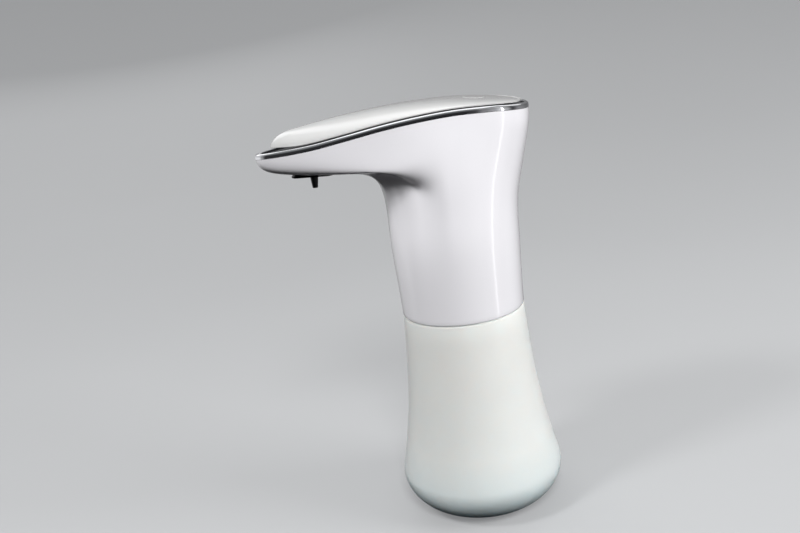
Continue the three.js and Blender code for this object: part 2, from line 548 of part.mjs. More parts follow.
add('drive_shaft', cylinder(...DRIVE_AXIS, 1, 113.2, 132.6, 16), M.steel);
add('idler_shaft', cylinder(...IDLER_AXIS, 1, 113.2, 122, 16), M.steel);
add('shaft_seal', revolve([[1.25, 124.3], [2.35, 124.3], [2.35, 125.9], [1.25, 125.9]], 14, ...DRIVE_AXIS),
  M.rubber);
add('reduction_gear', gear(gearOutline(REDUCTION_TEETH, 6.6, 0.27, 0.42, 0.1, 0, 2), 1.2, 128.6, 131.4,
  DRIVE_AXIS), M.natural);
add('motor_pinion', gear(gearOutline(PINION_TEETH, 2.4, 0.27, 0.38, 0.1, 0, 3), 0.9, 127.8, 132.2,
  MOTOR_AXIS), M.brass);
add('motor_shaft', cylinder(...MOTOR_AXIS, 0.7, 127.4, 141, 12), M.steel);
const insideColumn = cylinder(0, 0, 24.6, 100, 170, 48);
add('gearbox_plate', cut(common(join(box(-13.6, 15.2, -22.8, -8.2, 134.9, 136.5),
  box(-14.6, -12.8, -18.6, -13.6, 126.3, 136), box(12.6, 14.8, -18.6, -13.6, 126.3, 136)), insideColumn),
  cylinder(...MOTOR_AXIS, 2.4, 130, 140, 16), cylinder(3.2, -15.5, 1.0, 130, 140, 12), cylinder(-11.2,
    -15.5, 1.0, 130, 140, 12)), M.greyPlastic);
add('motor_can', cut(common(cylinder(...MOTOR_AXIS, 9.7, 136.8, 158.5, 28), box(-20, 12, -21.2, -8, 130, 170)),
  cylinder(...MOTOR_AXIS, 1.1, 136, 142, 12), cylinder(3.2, -15.5, 1.0, 136, 139.4, 12), cylinder(-11.2,
    -15.5, 1.0, 136, 139.4, 12)), M.steel);
add('motor_end_cap', join(common(cylinder(...MOTOR_AXIS, 9.5, 158.8, 162.6, 24),
  box(-20, 12, -21, -8.2, 150, 170)), cylinder(...MOTOR_AXIS, 3, 162, 164, 16)), M.whitePlastic);
for (const [i, x] of [3.2, -11.2].entries())
  add(`motor_screw_${i + 1}`, revolve([[0, 133.3], [1.6, 133.3], [1.6, 134.6], [0.7, 134.6], [0.7, 139],
    [0, 139]], 12, x, -15.5), M.steel);
add('suction_tube', pipe([[0, TUBE_Y, 111.7], [0, TUBE_Y, 60], [0, TUBE_Y, 9]], 2.7, 3, 14, 2.0), M.natural);
add('inlet_strainer', revolve([[3.0, 14], [4.2, 14], [4.2, 6.4], [3.6, 5.8], [1.2, 5.8], [1.2, 7.6],
  [3.0, 7.6]], 14, 0, TUBE_Y), M.whitePlastic);

// outlet hose up the column and forward along the spout
add('outlet_hose', pipe([[...SPIGOT, 126.6], [...SPIGOT, 136], [-16.5, -11.2, 146], [-16.3, -10.4, 158],
  [-13.5, -14.5, 167], [-9.5, -27, 170.6], [-3, -39, 172], fromSpout(0, 13, 7.4), fromSpout(0, 9,
  7.4)], 2, 20, 8, 1.5), M.natural);

// ============================================================ spout contents
// lengths here are in the spout frame: x across, y towards the column, z up from the underside
add('sensor_window', cut(join(prism(roundedRect(13, 18.6, 3), -1.0, -0.3),
  prism(roundedRect(11, 16.6, 2.2), -0.5, 1.6)), cylinder(0, 0, 2.2, -3, 3, 20)), M.blackGloss, spout);
add('nozzle', revolve([[0.8, -6.6], [1.2, -6.6], [1.75, -2], [1.75, 3], [2.9, 3], [2.9, 4.0], [0.8, 4.0]],
  14), M.blackPlastic, spout);
add('nozzle_holder', cut(join(cylinder(0, 0, 3.4, 4.3, 9.6, 20),
  new THREE.CylinderGeometry(1.3, 1.3, 6, 12).translate(0, 5.4, 7.4)),
  cylinder(0, 0, 0.8, 3, 8, 12), new THREE.CylinderGeometry(0.7, 0.7, 9, 10).translate(0, 4.4,
    7.4)), M.blackPlastic, spout);
add('sensor_board', cut(prism(roundedRect(15, 21, 1), 4.2, 5.2), cylinder(0, 0, 3.9, 3, 7, 20)), M.board,
  spout);
add('ir_emitter', revolve([[0, 1.9], [1.0, 2.2], [1.4, 2.9], [1.4, 4.0], [0, 4.0]], 14, 0, -6),
  M.blackGloss, spout);
add('ir_receiver', revolve([[0, 1.9], [1.0, 2.2], [1.4, 2.9], [1.4, 4.0], [0, 4.0]], 14, 0, 6),
  M.blackGloss, spout);
add('status_led', box(3.4, 5, 4.4, 6, 2.6, 4.0), M.natural, spout);

// ======================================================== electronics at the top
add('control_board', prism(roundedRect(30, 40, 2, 0, 3), BOARD_Z, BOARD_Z + 1.6), M.board);
add('tact_switch', join(box(-3, 3, BUTTON_Y - 3, BUTTON_Y + 3, BOARD_Z + 1.8, BOARD_Z + 5),
  cylinder(0, BUTTON_Y, 1.7, BOARD_Z + 4.8, 179.8, 14)), M.blackPlastic);
add('control_chip', box(-4, 4, -10, -4, BOARD_Z + 1.8, BOARD_Z + 3.2), M.blackPlastic);
add('capacitor', revolve([[0, BOARD_Z - 0.3], [2.9, BOARD_Z - 0.3], [3.2, BOARD_Z - 1], [3.2, BOARD_Z - 9],
  [0, BOARD_Z - 9]], 18, 10, 2), M.cell);
add('wire_socket', box(-12, -6, 12, 17, BOARD_Z - 5, BOARD_Z - 0.3), M.whitePlastic);
add('motor_wire_red', pipe([[-8.2, -15.5, 163.0], [-8.2, -14.8, 167], [-8, -10, 171], [-8, -6, 173.4]], 0.6,
  8, 6), M.red);
add('motor_wire_black', pipe([[0.2, -15.5, 163.0], [0.2, -14.8, 167], [0, -10, 171], [0, -6, 173.4]], 0.6,
  8, 6), M.rubber);
add('sensor_cable', pipe([[5.2, -49.4, 172.9], [6.5, -44, 174.2], [8, -32, 174.9], [9, -21, 175.2]], 0.7,
  10, 6), M.rubber);
for (const x of [12.5, -12.5]) add(`board_screw_${x > 0 ? 'right' : 'left'}`,
  revolve([[0, BOARD_Z + 1.9], [2.2, BOARD_Z + 1.9], [2.2, BOARD_Z + 3], [1.4, BOARD_Z + 3.6],
  [0, BOARD_Z + 3.6]], 14, x, 18), M.steel);

export default part;
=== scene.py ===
import json
import math
import bpy
import numpy as np
from mathutils import Matrix, Vector


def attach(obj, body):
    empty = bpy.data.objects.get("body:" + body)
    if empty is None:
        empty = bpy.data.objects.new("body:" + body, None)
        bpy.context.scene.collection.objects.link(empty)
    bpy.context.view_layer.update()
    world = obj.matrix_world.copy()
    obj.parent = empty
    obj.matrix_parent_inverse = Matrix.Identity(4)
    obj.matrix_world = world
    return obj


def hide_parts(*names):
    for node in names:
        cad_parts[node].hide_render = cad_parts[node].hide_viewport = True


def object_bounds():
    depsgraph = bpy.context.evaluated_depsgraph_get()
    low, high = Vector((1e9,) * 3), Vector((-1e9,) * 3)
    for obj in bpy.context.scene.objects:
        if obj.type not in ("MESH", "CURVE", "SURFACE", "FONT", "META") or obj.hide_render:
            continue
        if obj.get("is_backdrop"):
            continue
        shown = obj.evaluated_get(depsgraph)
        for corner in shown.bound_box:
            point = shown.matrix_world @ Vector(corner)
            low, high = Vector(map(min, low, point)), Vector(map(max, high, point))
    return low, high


# An automatic soap dispenser: detailed pieces for everything that shows, around the packed
# frame. Lengths are in millimetres, +Z is up, and the spout points along -Y.
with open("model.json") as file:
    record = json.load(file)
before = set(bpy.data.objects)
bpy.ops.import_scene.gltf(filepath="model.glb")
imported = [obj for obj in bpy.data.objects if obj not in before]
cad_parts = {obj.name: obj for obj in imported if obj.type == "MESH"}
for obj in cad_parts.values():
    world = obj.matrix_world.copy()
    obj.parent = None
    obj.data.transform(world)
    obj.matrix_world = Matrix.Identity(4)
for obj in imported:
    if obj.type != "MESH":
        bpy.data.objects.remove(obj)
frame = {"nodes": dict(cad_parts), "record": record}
cad_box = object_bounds()
MM = 0.001

# ------------------------------------------------------------------ dimensions
# Driving sizes, the same as the CAD part's where both have them.
SKIN_Z, SKIN_FOOT_RADIUS, SKIN_WALL = 95.8, 27.6, 2.0      # the housing's lower edge, and its wall
COLUMN_RADIUS, COLUMN_FRONT_RADIUS, COLUMN_TAIL_RADIUS, COLUMN_TOP_Z = 28.5, 28.2, 29.4, 143
RIM_CENTRE_Y, RIM_NOSE_Y, RIM_TAIL_Y, RIM_HALF_WIDTH, RIM_TOP_Z = 8, -82.4, 37.8, 25.3, 183.8
RIM_HEIGHTS = [(-83, 173.6), (-70, 174.8), (-55, 176.4), (-40, 178.8), (-25, 181.2),
               (-10, 182.9), (6, RIM_TOP_Z), (20, 183.3), (30, 182.2), (38, 181.2)]      # y, z
RIB_ANGLES = [(0, 0), (20, 9), (40, 24), (60, 48), (75, 72), (90, 99), (120, 133), (150, 158),
              (180, 180)]                          # round the rim, round the column
SPOUT_SLOPE, SPOUT_UNDERSIDE_Z, NOZZLE_Y = 0.05, 164.7, -58
SPOUT_BELLY = 1.2                                  # the underside's rise at 20 mm from the middle
TRIM_HEIGHT = 2.4
DECK_GAP, DECK_TOP, DECK_THICKNESS = 1.85, 1.5, 1.6
COVER_NOSE_Y, COVER_TAIL_Y, COVER_HALF_WIDTH, COVER_WALL = -75, 34.9, 23.7, 2.0
COVER_CROWN = [(-76, 15.5), (-70, 14.2), (-60, 11.2), (-42, 7.7), (-25, 5.3), (0, 2.65),
               (18, 1.1), (36, 0.8)]               # y, height of the dome over its edge
BUTTON_Y, BUTTON_RADIUS, BUTTON_GAP, STEM_HOLE_RADIUS = 15, 4.5, 0.16, 3.4
THROUGH_DECK_Z, THROUGH_COVER_Z = (178, 192), (180, 197)              # lengths of the cutters
BOTTLE_FLOOR_Z, BOTTLE_WALL = 1.5, 2.3
BOTTLE_HEEL = [(23, 1.5), (31.0, 1.8), (39.3, 11.0), (37.2, 19.4)]     # curve handles: radius, z
BOTTLE_SIDE = [(19.4, 37.2, -0.25), (36.1, 33.5, -0.19), (55.9, 30.4, -0.123), (75.7, 28.6, -0.073),
               (95.5, 27.5, -0.04)]                # z, radius, slope
NECK_RADIUS, NECK_BORE, NECK_ROUND_Z, NECK_ROUND = 23, 21, 107.2, 0.5
LUG_ROOT, LUG_RADIUS, LUG_Z, LUG_HALF_SPAN = 22.2, 24.4, (100.9, 102.9), 14       # span in degrees
TUBE_Y, TUBE_RADIUS, TUBE_BORE, TUBE_LOW_Z, TUBE_TOP_Z = -11.9, 2.7, 2.0, 9.0, 111.6
# width, length and corner radius of the sensor window: its plate, its neck and the slot for it
WINDOW_PLATE, WINDOW_NECK, WINDOW_SLOT = (13, 18.6, 3), (11, 16.6, 2.2), (11.6, 17.2, 2.5)


# --------------------------------------------------------------- shape formulas
def mix(a, b, t):
    return a + (b - a) * t


def smooth(a, b, x):
    t = min(max((x - a) / (b - a), 0), 1)
    return t * t * (3 - 2 * t)


def hermite(t, span, start, start_slope, end, end_slope):
    """A smooth curve from start to end, with the slope that it has at each of them."""
    return (start * (1 + 2 * t) * (1 - t) ** 2 + start_slope * span * t * (1 - t) ** 2
            + end * t * t * (3 - 2 * t) + end_slope * span * t * t * (t - 1))


def along(stations, x):
    """The height at x of a smooth curve through the stations, level outside them."""
    last = len(stations) - 1
    if x <= stations[0][0]:
        return stations[0][1]
    if x >= stations[last][0]:
        return stations[last][1]
    i = 0
    while x > stations[i + 1][0]:
        i += 1

    def slope(k):
        a, b = stations[max(0, k - 1)], stations[min(last, k + 1)]
        return (b[1] - a[1]) / (b[0] - a[0])
    (x0, y0), (x1, y1) = stations[i], stations[i + 1]
    return hermite((x - x0) / (x1 - x0), x1 - x0, y0, slope(i), y1, slope(i + 1))


def leaf(u, nose, tail, half_width):
    """Point at share u of the way round a leaf-shaped outline, from its nose."""
    a = 2 * math.pi * u
    c, s = math.cos(a), math.sin(a)
    y = RIM_CENTRE_Y - c * (RIM_CENTRE_Y - nose if c > 0 else tail - RIM_CENTRE_Y)
    return half_width * math.copysign(abs(s) ** (1 + 0.17 * c if c > 0 else 1), s), y


def rim_plan(u):
    return leaf(u, RIM_NOSE_Y, RIM_TAIL_Y, RIM_HALF_WIDTH)


def cover_plan(u):
    return leaf(u, COVER_NOSE_Y, COVER_TAIL_Y, COVER_HALF_WIDTH)


def rim_z(y):
    return along(RIM_HEIGHTS, y)


def underside_z(y):
    return SPOUT_UNDERSIDE_Z - SPOUT_SLOPE * (y - NOZZLE_Y)


def inset(plan, u, distance):
    """Point of an outline at share u, moved square to it towards its inside."""
    e = 0.002
    (ax, ay), (bx, by), (x, y) = plan(u - e), plan(u + e), plan(u)
    tx, ty = bx - ax, by - ay
    length = math.hypot(tx, ty)
    return x - ty / length * distance, y + tx / length * distance


def rib(u):
    """Control points of one rib of the head's skin, from its lower edge up to the rim."""
    half, sign = (u, 1) if u <= 0.5 else (1 - u, -1)
    angle = math.radians(along(RIB_ANGLES, half * 360))
    rim_x, rim_y = rim_plan(half)
    top_z = rim_z(rim_y)
    dx, dy = math.sin(angle), -math.cos(angle)
    back = (1 - math.cos(angle)) / 2                                  # 0 at the nose, 1 at the tail
    tail = smooth(0.6, 1, back)
    # how far the rim stands out from the column
    reach = math.hypot(rim_x - dx * COLUMN_RADIUS, rim_y - dy * COLUMN_RADIUS)
    over = smooth(2, 17, reach) * smooth(0.62, 0.3, back)             # 1 where the rib is the spout's
    pinch = smooth(0, 0.12, back) * smooth(0.48, 0.25, back)          # the hollow below the spout's sides
    sag = 3 * smooth(0.16, 0.3, back) * smooth(0.5, 0.38, back)
    radius = mix(COLUMN_FRONT_RADIUS, COLUMN_TAIL_RADIUS, smooth(0.5, 1, back))
    column = [(SKIN_FOOT_RADIUS, SKIN_Z), (27.75, 104), (28.35, 118),
              (28.8 * (1 - 0.03 * pinch), 131), (radius * (1 - 0.09 * pinch), COLUMN_TOP_Z)]
    points = [(dx * r * sign, dy * r, z) for r, z in column]
    cove = [min(4 / reach, 0.3), min(14 / reach, 0.5)] if reach > 1 else [0.3, 0.5]
    # share of the way to the rim and height on the side wall, the same on the tail, the share under
    # the spout, how far the point tucks in and sags, and how far it lies below the spout's belly
    levels = [(0.04, 151, 0.17, 150, 0.01, 0.18, 0.4, 9),
              (0.12, 158, 0.38, 157.5, cove[0], 0.23, 1, 2.2),
              (0.27, 164, 0.58, 164, cove[1], 0.05, 1, 0),
              (0.47, 170, 0.77, 170.5, 0.64, -0.03, 0.8, 0),
              (0.66, 175, 0.90, 175.5, 0.93, -0.02, 0.3, -1.1),
              (0.86, 179.5, 0.975, 178.7, 0.99, 0, 0, None)]          # None: halfway up to the rim
    scale = (top_z - COLUMN_TOP_Z) / (RIM_TOP_Z - COLUMN_TOP_Z)
    z = 0
    for side_share, side_z, tail_share, tail_z, spout_share, tuck, drop, below in levels:
        wall_z = COLUMN_TOP_Z + (mix(side_z, tail_z, tail) - COLUMN_TOP_Z) * scale
        share = mix(mix(side_share, tail_share, tail), spout_share, over)
        x = mix(dx * radius, rim_x, share) * (1 - pinch * tuck)
        y = mix(dy * radius, rim_y, share) * (1 - 0.4 * pinch * tuck)
        if below is None:
            spout_z = mix(z, top_z, 0.5)
        else:
            spout_z = underside_z(y) + SPOUT_BELLY * (x / 20) ** 2 - below
        z = mix(wall_z, spout_z, over) - sag * drop
        points.append((x * sign, y, z))
    return points + [(rim_x * sign, rim_y, top_z)]


def spline_basis(last, shares):
    """Rows of weights of a clamped cubic B-spline for control points 0 to last."""
    degree = 3
    spans = last - degree + 1
    knots = [min(max(i - degree, 0), spans) / spans for i in range(last + degree + 2)]
    rows = []
    for t in shares:
        k = degree
        while k < last and t >= knots[k + 1]:
            k += 1
        weights = np.eye(degree + 1)
        for r in range(1, degree + 1):
            for j in range(degree, r - 1, -1):
                a = (t - knots[j + k - degree]) / (knots[j + 1 + k - r] - knots[j + k - degree])
                weights[j] = (1 - a) * weights[j - 1] + a * weights[j]
        row = np.zeros(last + 1)
        row[k - degree:k + 1] = weights[degree]
        rows.append(row)
    return np.array(rows)


# ---------------------------------------------------------------- mesh helpers
def shade(mesh, sharp):
    """Smooth shading, with edges sharper than this many degrees kept sharp."""
    mesh.polygons.foreach_set("use_smooth", [True] * len(mesh.polygons))
    mesh.set_sharp_from_angle(angle=math.radians(sharp))


def new_object(name, vertices, faces, sharp=35):
    mesh = bpy.data.meshes.new(name)
    mesh.from_pydata([tuple(float(c) * MM for c in v) for v in vertices], [], faces)
    mesh.validate()
    shade(mesh, sharp)
    obj = bpy.data.objects.new(name, mesh)
    bpy.context.scene.collection.objects.link(obj)
    return obj


def ring_mesh(name, rings, looped=True, sharp=35, flip=False):
    """A closed solid over rings of equally many points: looped round, or capped at both ends."""
    n = len(rings[0])
    vertices = [p for ring in rings for p in ring]
    faces = []
    for r in range(len(rings) if looped else len(rings) - 1):
        s = (r + 1) % len(rings)
        for i in range(n):
            j = (i + 1) % n
            face = (r * n + i, r * n + j, s * n + j, s * n + i)
            faces.append(face[::-1] if flip else face)
    if not looped:
        for r, upper in ((0, False), (len(rings) - 1, True)):
            centre = len(vertices)
            vertices.append(tuple(np.mean(rings[r], axis=0)))
            for i in range(n):
                a, b = r * n + i, r * n + (i + 1) % n
                faces.append((a, b, centre) if upper != flip else (b, a, centre))
    return new_object(name, vertices, faces, sharp)


def stack(name, outlines, sharp=35):
    """A closed solid through outlines given as (points, z)."""
    rings = [[(x, y, z) for x, y in points] for points, z in outlines]
    return ring_mesh(name, rings, looped=False, sharp=sharp)


def lathe(name, profile, sides=96, x=0.0, y=0.0, sharp=35):
    """A turned solid; profile: (radius, z) pairs that end on the axis or close on themselves."""
    area = sum(a[0] * b[1] - b[0] * a[1] for a, b in zip(profile, profile[1:] + profile[:1]))
    if area < 0:
        profile = profile[::-1]
    vertices, faces, index = [], [], []
    for r, z in profile:
        if r <= 1e-9:
            index.append([len(vertices)] * sides)
            vertices.append((x, y, z))
        else:
            index.append(list(range(len(vertices), len(vertices) + sides)))
            for i in range(sides):
                a = 2 * math.pi * i / sides
                vertices.append((x + r * math.cos(a), y + r * math.sin(a), z))
    for a, b in zip(index, index[1:] + index[:1]):
        if a[0] == a[1] and b[0] == b[1]:
            continue                                                  # along the axis: no face
        for i in range(sides):
            j = (i + 1) % sides
            face = [a[i], a[j], b[j], b[i]]
            faces.append([v for k, v in enumerate(face) if v not in face[:k]])
    return new_object(name, vertices, faces, sharp)


def drum(name, x, y, r, z0, z1, sides=64):
    return lathe(name, [(0, z0), (r, z0), (r, z1), (0, z1)], sides, x, y)


def boolean(obj, cutter, operation="DIFFERENCE", sharp=35):
    """Cut obj by the cutter, or join them; the cutter is used up."""
    modifier = obj.modifiers.new("cut", "BOOLEAN")
    modifier.operation, modifier.object, modifier.solver = operation, cutter, "EXACT"
    bpy.context.view_layer.update()
    mesh = bpy.data.meshes.new_from_object(obj.evaluated_get(bpy.context.evaluated_depsgraph_get()))
    obj.modifiers.clear()
    obj.data = mesh
    bpy.data.objects.remove(cutter)
    shade(mesh, sharp)
    return obj


def arc(cx, cz, r, start, end, steps=6):
    """Points on a circle, from one angle to another in degrees."""
    angles = [math.radians(mix(start, end, i / steps)) for i in range(steps + 1)]
    return [(cx + r * math.cos(a), cz + r * math.sin(a)) for a in angles]


def sector(r0, r1, start, end, steps=14):
    return arc(0, 0, r1, start, end, steps) + arc(0, 0, r0, end, start, steps)


def rounded_rect(w, h, r, steps=10):
    out = []
    for sx, sy, start in ((1, 1, 0), (-1, 1, 90), (-1, -1, 180), (1, -1, 270)):
        out += arc(sx * (w / 2 - r), sy * (h / 2 - r), r, start, start + 90, steps)
    return out


SPOUT = (Matrix.Translation(Vector((0, NOZZLE_Y, underside_z(NOZZLE_Y))) * MM)
         @ Matrix.Rotation(-math.atan(SPOUT_SLOPE), 4, "X"))


def in_spout(obj):
    """Moves a piece made about the origin to the nozzle's place, square to the spout's underside."""
    obj.data.transform(SPOUT)
    return obj


# ------------------------------------------------------------------- materials
def plug(node, inputs):
    """Sets or links a node's inputs, by name or number."""
    for key, value in inputs.items():
        if isinstance(value, bpy.types.NodeSocket):
            node.id_data.links.new(value, node.inputs[key])
        else:
            node.inputs[key].default_value = value


def add_node(tree, kind, inputs, **settings):
    node = tree.nodes.new("ShaderNode" + kind)
    for key, value in settings.items():
        setattr(node, key, value)
    plug(node, inputs)
    return node


def add_ramp(tree, source, stops, interpolation="LINEAR"):
    """A colour ramp through (position, colour) stops."""
    node = add_node(tree, "ValToRGB", {"Fac": source})
    ramp = node.color_ramp
    ramp.interpolation = interpolation
    while len(ramp.elements) < len(stops):
        ramp.elements.new(0.5)
    for element, (position, color) in zip(ramp.elements, stops):
        element.position, element.color = position, (*color, 1)
    return node.outputs["Color"]


def add_noise(tree, place, scale, detail):
    return add_node(tree, "TexNoise", {"Vector": place, "Scale": scale, "Detail": detail}).outputs["Fac"]


def add_bump(tree, height, strength, distance):
    inputs = {"Height": height, "Strength": strength, "Distance": distance}
    return add_node(tree, "Bump", inputs).outputs["Normal"]


def new_material(name):
    """A material with its node tree, its shader and the object's coordinates."""
    mat = bpy.data.materials.new(name)
    mat.use_nodes = True
    place = add_node(mat.node_tree, "TexCoord", {}).outputs["Object"]
    return mat, mat.node_tree, mat.node_tree.nodes["Principled BSDF"], place


def material(name, color, roughness, metallic=0.0, coat=0.0, variation=0.04, scale=60.0,
             rough_variation=0.04, bump=0.0, bump_scale=1500.0, tint=None, **sockets):
    """A procedural surface: colour and roughness drift with soft noise, over a fine bump."""
    mat, tree, shader, place = new_material(name)
    noise = add_noise(tree, place, scale, 4)
    low = [c * (1 - variation) for c in color]
    high = [min(1, c * (1 + variation)) for c in (tint or color)]
    drift = add_node(tree, "MapRange", {"Value": noise, "To Min": max(0.02, roughness - rough_variation),
                                        "To Max": min(1, roughness + rough_variation)})
    plug(shader, {"Base Color": add_ramp(tree, noise, [(0.3, low), (0.7, high)]),
                  "Roughness": drift.outputs["Result"], "Metallic": metallic,
                  "Coat Weight": coat, "Coat Roughness": 0.04})
    if bump:
        plug(shader, {"Normal": add_bump(tree, add_noise(tree, place, bump_scale, 3), bump, 0.0002)})
    plug(shader, {key.replace("_", " "): value for key, value in sockets.items()})
    return mat


def frosted_material():
    """Milky translucent polypropylene; its colour turns darker and bluer towards the foot, which is painted
    shade.
    """
    mat, tree, shader, place = new_material("frosted_bottle")
    z = add_node(tree, "SeparateXYZ", {"Vector": place}).outputs["Z"]
    height = add_node(tree, "MapRange", {"Value": z, "From Min": 0.0, "From Max": 96 * MM}).outputs["Result"]
    # painted shade: the colour ramp darkens and turns bluer towards the foot
    colour = add_ramp(tree, height, [(0.0, (0.57, 0.71, 0.765)), (0.35, (0.82, 0.90, 0.885)),
                                     (1.0, (0.87, 0.925, 0.885))])
    clouds = {"Value": add_noise(tree, place, 35, 2), "To Min": 0.96, "To Max": 1.03}
    cloud = add_node(tree, "MapRange", clouds)
    tinted = add_node(tree, "VectorMath", {0: colour, "Scale": cloud.outputs["Result"]}, operation="SCALE")
    grain = add_bump(tree, add_noise(tree, place, 2200, 2), 0.08, 0.0001)
    plug(shader, {"Base Color": tinted.outputs["Vector"], "Normal": grain, "Roughness": 0.42,
                  "Subsurface Weight": 0.8, "Subsurface Radius": (0.006, 0.007, 0.0075),
                  "Subsurface Scale": 1.0, "Transmission Weight": 0.06})
    return mat


POLISHED = dict(coat=0.5, variation=0.012, scale=18, rough_variation=0.02, bump=0.02, bump_scale=420)
LOOKS = {
    "white_shell": dict(color=(0.80, 0.79, 0.82), roughness=0.13, **POLISHED),
    # painted shade: the cover is the shell's white plastic, coloured darker to tone down the strong light on
    # its dome
    "white_cover": dict(color=(0.55, 0.55, 0.546), roughness=0.14, **POLISHED),
    "chrome": dict(color=(0.86, 0.87, 0.89), roughness=0.08, metallic=1, variation=0.02, scale=90,
                   rough_variation=0.025, bump=0.015, bump_scale=700),
    "black_gloss": dict(color=(0.010, 0.010, 0.012), roughness=0.22, Specular_IOR_Level=0.2, variation=0.2,
                        scale=40, rough_variation=0.03, bump=0.015, bump_scale=500),
    "black_plastic": dict(color=(0.02, 0.02, 0.022), roughness=0.42, variation=0.25, scale=120,
                          bump=0.2, bump_scale=2600),
    "white_plastic": dict(color=(0.72, 0.72, 0.71), roughness=0.42, scale=70, bump=0.12, bump_scale=2400),
    "grey_plastic": dict(color=(0.34, 0.35, 0.36), roughness=0.45, variation=0.07, scale=80,
                         bump=0.15, bump_scale=2400),
    "natural_plastic": dict(color=(0.78, 0.75, 0.64), roughness=0.38, variation=0.05, scale=110,
                            bump=0.06, bump_scale=1800, Subsurface_Weight=0.2),
    "hose": dict(color=(0.80, 0.82, 0.79), roughness=0.3, scale=90, bump=0.03, Transmission_Weight=0.35),
    "silicone": dict(color=(0.52, 0.55, 0.56), roughness=0.62, variation=0.06, scale=150,
                     bump=0.15, bump_scale=3000),
    "rubber": dict(color=(0.03, 0.03, 0.032), roughness=0.7, variation=0.2, scale=150,
                   bump=0.2, bump_scale=3000),
    "steel": dict(color=(0.55, 0.56, 0.58), roughness=0.3, metallic=1, variation=0.08, scale=300,
                  rough_variation=0.08, bump=0.08, bump_scale=2500),
    "nickel": dict(color=(0.62, 0.59, 0.53), roughness=0.25, metallic=1, variation=0.07, scale=260,
                   rough_variation=0.07, bump=0.05, bump_scale=2500),
    "brass": dict(color=(0.75, 0.55, 0.24), roughness=0.28, metallic=1, variation=0.08, scale=300,
                  rough_variation=0.07, bump=0.06, bump_scale=2500),
    "board": dict(color=(0.02, 0.19, 0.07), tint=(0.03, 0.27, 0.10), roughness=0.38, coat=0.3,
                  variation=0.3, scale=900, bump=0.15, bump_scale=1400),
    "cell": dict(color=(0.05, 0.10, 0.38), tint=(0.06, 0.13, 0.45), roughness=0.3, coat=0.3,
                 variation=0.1, scale=120),
    "wire_red": dict(color=(0.42, 0.02, 0.015), roughness=0.4, variation=0.12, scale=200, bump=0.05),
}
MATERIALS = {name: material(name, **look) for name, look in LOOKS.items()}
MATERIALS["frosted_bottle"] = frosted_material()

slot_of = {subpart["node"]: subpart["material_slot"] for subpart in frame["record"]["subparts"]}
for name, obj in frame["nodes"].items():
    obj.data.materials.clear()
    obj.data.materials.append(MATERIALS[slot_of[name]])


def finish_piece(obj, body, slot, node):
    """Gives a piece its material, lets it ride on its body, and puts it in its CAD node's place."""
    obj.data.materials.clear()
    obj.data.materials.append(MATERIALS[slot])
    for polygon in obj.data.polygons:
        polygon.material_index = 0
    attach(obj, body)
    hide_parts(node)


# ------------------------------------------------------------------ head shell
AROUND, ROWS = 216, 110
EDGE_ROUND = 0.45
ROUND = [i / AROUND for i in range(AROUND)]
ribs = np.array([rib(u) for u in ROUND])                              # around, control point, xyz
weights = spline_basis(ribs.shape[1] - 1, np.linspace(0, 1, ROWS + 1))
skin = np.einsum("rk,akc->rac", weights, ribs)                        # row, around, xyz


def grid_normals(grid):
    around = np.roll(grid, -1, axis=1) - np.roll(grid, 1, axis=1)
    n = np.cross(around, np.gradient(grid, axis=0))
    return n / np.linalg.norm(n, axis=2, keepdims=True)


def foot_ring(inwards, rise=0.0):
    """The skin's lowest ring, moved towards the axis and up."""
    share = 1 - inwards / SKIN_FOOT_RADIUS
    return [(x * share, y * share, SKIN_Z + rise) for x, y, z in skin[0]]


def rim_ring(inwards, rise=0.0):
    """A ring along the rim, moved inwards and up."""
    return [(*inset(rim_plan, u, inwards), rim_z(rim_plan(u)[1]) + rise) for u in ROUND]


inner_skin = skin - grid_normals(skin) * SKIN_WALL
rings = [foot_ring(EDGE_ROUND * inwards, EDGE_ROUND * rise)
         for inwards, rise in ((1, 0), (0.5, 0.07), (0.15, 0.3), (0, 1))]
rings += list(skin[1:])
rings.append(rim_ring(SKIN_WALL))
rings += [inner_skin[r] for r in range(ROWS - 3, 0, -3)]
rings.append(foot_ring(SKIN_WALL))
shell = ring_mesh("head_shell", rings, sharp=50)
window_slot = rounded_rect(*WINDOW_SLOT)
shell = boolean(shell, in_spout(stack("cutter", [(window_slot, -6), (window_slot, 4.6)])), sharp=50)
finish_piece(shell, "head_body", "white_shell", "head_housing")

# ----------------------------------------------------------------- chrome band
# how far in from the rim, and how far up: a crowned outer face, then the inner lip
BAND_SECTION = [(0.05, 0.04), (-0.07, 0.2), (-0.1, 0.5), (-0.11, 0.9), (-0.08, 1.35), (0.02, 1.75),
                (0.08, 1.88), (0.36, 2.14), (0.66, 2.36), (0.9, TRIM_HEIGHT), (1.5, 2.36), (1.6, 2.2),
                (1.6, 0.3), (0.3, 0.04)]
band = ring_mesh("chrome_band", [rim_ring(inwards, rise) for inwards, rise in BAND_SECTION], sharp=28)
finish_piece(band, "head_body", "chrome", "chrome_trim")


# ------------------------------------------------------------------ deck panel
def deck_ring(share, depth, gap=DECK_GAP):
    """A ring of the deck: a share of its outline, this far below its top."""
    outline = [inset(rim_plan, u, gap) for u in ROUND]
    scaled = [(x * share, mix(RIM_CENTRE_Y, y, share)) for x, y in outline]
    return [(x, y, rim_z(y) + DECK_TOP - depth) for x, y in scaled]


rings = [deck_ring(share, 0) for share in (0.04, 0.2, 0.4, 0.6, 0.8, 0.92)]
rings += [deck_ring(1, depth, DECK_GAP + inwards) for inwards, depth in ((0.2, 0), (0.05, 0.06), (0, 0.2))]
rings += [deck_ring(share, DECK_THICKNESS) for share in (1, 0.8, 0.4, 0.04)]
deck = ring_mesh("deck_panel", rings, looped=False, flip=True)
deck = boolean(deck, drum("cutter", 0, BUTTON_Y, STEM_HOLE_RADIUS, *THROUGH_DECK_Z))
finish_piece(deck, "head_body", "black_gloss", "top_deck")


